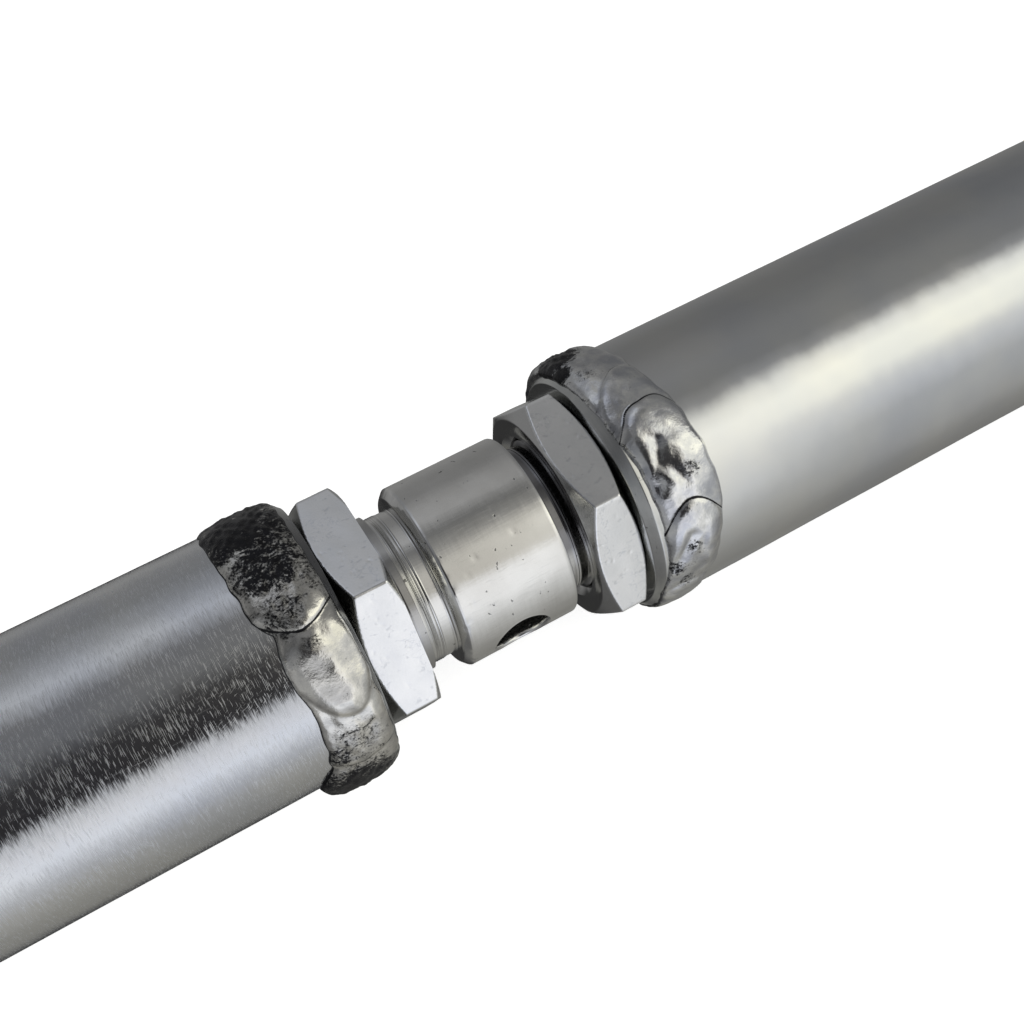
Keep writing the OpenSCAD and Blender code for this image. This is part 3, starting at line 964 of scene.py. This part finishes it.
def stud_rows(hand):
    """(place, radius) rows of one stud from its tip inwards to the neck, as for the left stud."""
    turn = turns(STUD_COLUMNS)[None, :]
    neck_end = LEFT_NECK_END if hand == 1 else -RIGHT_NECK_END
    places = np.arange(-STUD_REACH + 1.4, neck_end + 0.31, 0.15)[:, None]
    tip = 0.5 * smooth_step((-STUD_REACH + 2.6 - places) / 1.2)
    cut = smooth_step((neck_end - 1.15 - places) / 0.4)
    thread = STUD_R - (STUD_R - thread_radius(places, turn)) * cut - tip
    runout = smooth_step((places - neck_end + 0.15) / 0.25)
    radius = thread * (1 - runout) + neck_radius(hand * places) * runout
    tip_rows = ((0, 1.3), (0, 4.5), (0, 7.9), (0.1, 8.15), (0.7, 8.75))
    rows = [(-STUD_REACH + inset, np.full(STUD_COLUMNS, r)) for inset, r in tip_rows]
    return rows + [(float(place), line) for place, line in zip(places[:, 0], radius)]


def collar_wear(along, turn):
    """Nicks and dents in the collar's skin."""
    arc = (turn % (2 * math.pi)) * COLLAR_R
    around = (0, 2 * math.pi * COLLAR_R)
    nicks = dents(along, arc, 71, 60, (-COLLAR_HALF + 0.4, COLLAR_HALF - 0.3), around, 0.22, 0.05)
    edge = dents(along, arc, 72, 34, (-COLLAR_HALF + 0.6, -COLLAR_HALF + 0.9), around, 0.24, 0.09)
    return nicks + edge


def adjuster_rings():
    """Rows of the whole adjuster from the left tip to the right one, as (place, radii)."""
    turn = turns(COLLAR_COLUMNS)
    left = stud_rows(1)
    right = [(-place, line) for place, line in stud_rows(-1)][::-1]
    middle = []
    for place in np.arange(left[-1][0] + 0.09, -COLLAR_HALF - 0.12, 0.07):
        middle.append((place, neck_radius(place)))
    middle += [(-COLLAR_HALF + inset, radius) for inset, radius in COLLAR_LEFT_EDGE]
    steps = round(HOLE_HALF / ROW_STEP)
    skin = [*np.linspace(-COLLAR_HALF + 0.97, -HOLE_HALF - ROW_STEP, 8)]
    skin += [k * ROW_STEP for k in range(-steps, steps + 1)]
    skin += [*np.linspace(HOLE_HALF + ROW_STEP, COLLAR_HALF - 0.3, 8)]
    middle += [(place, COLLAR_R) for place in skin]
    middle += [(COLLAR_HALF - inset, radius) for inset, radius in COLLAR_RIGHT_EDGE]
    for place in np.arange(COLLAR_HALF + 0.2, right[0][0] - 0.05, 0.07):
        middle.append((place, neck_radius(place)))
    worn = []
    for place, radius in middle:
        wear = collar_wear(place, turn) if radius > NECK_R + 1 else 0 * turn
        worn.append((float(place), radius - wear))
    return left, worn, right


class Rings:
    """Collects rings of points and the faces between them."""

    def __init__(self):
        self.points = []
        self.faces = []
        self.count = 0

    def add(self, points):
        """Adds points and returns their numbers."""
        first = self.count
        self.points.append(np.asarray(points, float).reshape(-1, 3))
        self.count += len(self.points[-1])
        return list(range(first, self.count))

    def join(self, first, second, skip=()):
        """Faces between two rings, of equal length or one twice as long as the other."""
        if len(first) > len(second):
            self.join(second, first)
            return
        n = len(first)
        if len(second) == n:
            for j in range(n):
                if j not in skip:
                    self.faces.append((first[j], first[(j + 1) % n], second[(j + 1) % n], second[j]))
            return
        for j in range(n):
            a, b = first[j], first[(j + 1) % n]
            c, d, e = second[2 * j], second[2 * j + 1], second[(2 * j + 2) % (2 * n)]
            self.faces += [(a, d, c), (a, b, d), (b, e, d)]

    def cap(self, ring, point):
        """A fan from a ring to one point."""
        tip = self.add([point])[0]
        self.faces += [(ring[j], ring[(j + 1) % len(ring)], tip) for j in range(len(ring))]


def hole_loop(rings, corner_rows, columns, mirror, middle):
    """Numbers of the collar's points round one mouth of the cross hole, in order."""
    low, high = corner_rows

    def at(row, step):
        return rings[row][(middle + mirror * step) % COLLAR_COLUMNS]

    loop = [at(row, -columns) for row in range(low, high)]
    loop += [at(high, step) for step in range(-columns, columns)]
    loop += [at(row, columns) for row in range(high, low, -1)]
    loop += [at(low, step) for step in range(columns, -columns, -1)]
    return loop


def oil_film(points):
    """Painted shade and painted reflection on the collar's two faces, on the right neck and on the left
    thread's end.
    """
    along = points[:, 0] - COLLAR_X
    right = (along > COLLAR_HALF - 0.03) & (along < RIGHT_NECK_END + 0.5)
    left = np.abs(along + COLLAR_HALF) < 0.05
    crest = (along < LEFT_NECK_END) & (along > LEFT_NECK_END - 1.3)
    # Painted shade, darker on top, where the neck mirrors the dark nut face.
    top = near_top(np.arctan2(-points[:, 1], points[:, 2]), 66, 14)
    return (0.85 * right + 0.6 * left) * (0.2 + 0.8 * top) + 0.4 * crest


def adjuster(material):
    """The turned adjuster: two threaded studs, necks, and the collar with its cross hole."""
    mesh = Rings()
    left, middle, right = adjuster_rings()
    column = round(HOLE_TURN / 360 * COLLAR_COLUMNS)
    start = math.radians(HOLE_TURN) - column * 2 * math.pi / COLLAR_COLUMNS
    stud_turn, turn = turns(STUD_COLUMNS) + start, turns(COLLAR_COLUMNS) + start
    rings = []
    for rows, angle in ((left, stud_turn), (middle, turn), (right, stud_turn)):
        for place, radii in rows:
            rings.append(mesh.add(around_bar(COLLAR_X + place, angle, radii)))
    places = [row[0] for row in left + middle + right]
    low, high = (int(np.argmin(np.abs(np.array(places) - edge))) for edge in (-HOLE_HALF, HOLE_HALF))
    half_columns = 14
    opposite = column + COLLAR_COLUMNS // 2
    around_hole = range(-half_columns, half_columns)
    cut = {(centre + k) % COLLAR_COLUMNS for centre in (column, opposite) for k in around_hole}
    for i, (first, second) in enumerate(zip(rings, rings[1:])):
        mesh.join(first, second, cut if low <= i < high else ())
    centre_depth = 1.1
    mesh.cap(rings[0], (COLLAR_X - STUD_REACH + centre_depth, 0, 0))
    mesh.cap(rings[-1], (COLLAR_X + STUD_REACH - centre_depth, 0, 0))
    cross_hole(mesh, rings, (low, high), half_columns, column, opposite)
    points = np.concatenate(mesh.points)
    piece("adjuster_turned", points, mesh.faces, "adjuster", "adjuster", "turned_zinc", material,
          40, oil=oil_film(points))


def cross_hole(mesh, rings, corner_rows, half_columns, column, opposite):
    """Bore of the cross hole, with a worn rim at both mouths."""
    angle = math.radians(HOLE_TURN)
    up = np.array([0, -math.sin(angle), math.cos(angle)])
    aside = np.array([0, -math.cos(angle), -math.sin(angle)])

    def ring(previous, x, t, height):
        """A ring of points at x along the bar, t aside and height up from the collar's middle."""
        height = height + 0 * x
        points = np.outer(x, (1, 0, 0)) + np.outer(t, aside) + np.outer(height, up)
        made = mesh.add(points + (COLLAR_X, 0, 0))
        mesh.join(previous, made)
        return made

    ends = []
    for sign, middle, mirror in ((1, column, 1), (-1, opposite, -1)):
        last = hole_loop(rings, corner_rows, half_columns, mirror, middle)
        edge = np.concatenate(mesh.points)[last] - (COLLAR_X, 0, 0)
        x, t = edge[:, 0], edge @ aside
        around, out = np.arctan2(t, x), np.hypot(x, t)
        skin = [(out + (HOLE_R + 0.34 - out) * share, 0.0) for share in (0.25, 0.48, 0.68, 0.84, 1.0)]
        rim = ((0.28, -0.01), (0.21, 0.05), (0.04, 0.25), (0.0, 0.36), (0.0, 0.9))
        for reach, sink in skin + [(HOLE_R + wider + 0 * out, sink) for wider, sink in rim]:
            x, t = reach * np.cos(around), reach * np.sin(around)
            off_axis = np.arctan2(sign * t, np.sqrt(COLLAR_R ** 2 - t ** 2)) * sign
            wear = collar_wear(x, angle + (0 if sign == 1 else math.pi) + off_axis)
            last = ring(last, x, t, sign * (np.sqrt((COLLAR_R - wear) ** 2 - t ** 2) - sink))
        ends.append((last, around))
    (last, around), (far_mouth, _) = ends
    for height in (9.0, 6.0, 3.0, 0.0, -3.0, -6.0, -9.0):
        last = ring(last, HOLE_R * np.cos(around), HOLE_R * np.sin(around), height)
    mesh.join(last, far_mouth)


# ---- the scene

camera()
world()
key_light()
floor()

nut_paint = nut_material()
boss_paint = turned_material("boss_zinc", (0.60, 0.61, 0.60), (0.72, 0.72, 0.70), 0.20, 0.05)
eye_paint = tube_material("eye_zinc", 0.3, 0.05, 0.5, 0.22)
sleeve_paint = turned_material("sleeve_zinc", (0.72, 0.71, 0.66), (0.80, 0.79, 0.74), 0.22, 0.05)
rubber_paint = rubber_material()
tube("left", LEFT_WELD["far"], tube_material("tube_zinc_left", 1.0, 0.06, 0.4, 0.10))
tube("right", RIGHT_WELD["far"], tube_material("tube_zinc_right", 0.05, 0.08, 0.04, 0.11))
weld("left", LEFT_WELD, 21, weld_material("weld_left", (0.62, 0.61, 0.58), (0.86, 0.84, 0.78)))
weld("right", RIGHT_WELD, 25, weld_material("weld_right", (0.62, 0.63, 0.66), (0.84, 0.84, 0.82)))
for number, half_name in enumerate(("left", "right")):
    boss(half_name, boss_paint)
    eye_weld(half_name, 41 + 3 * number, bpy.data.materials[f"weld_{half_name}"])
    eye_end(half_name, eye_paint, rubber_paint, sleeve_paint)
jam_nut("left", 18.5, 0.8, 1.5, 51, nut_paint)
jam_nut("right", 30.6, 1.5, 1.5, 55, nut_paint)
adjuster(turned_material("turned_zinc", (0.76, 0.755, 0.735), (0.83, 0.828, 0.81), 0.13, 0.06))
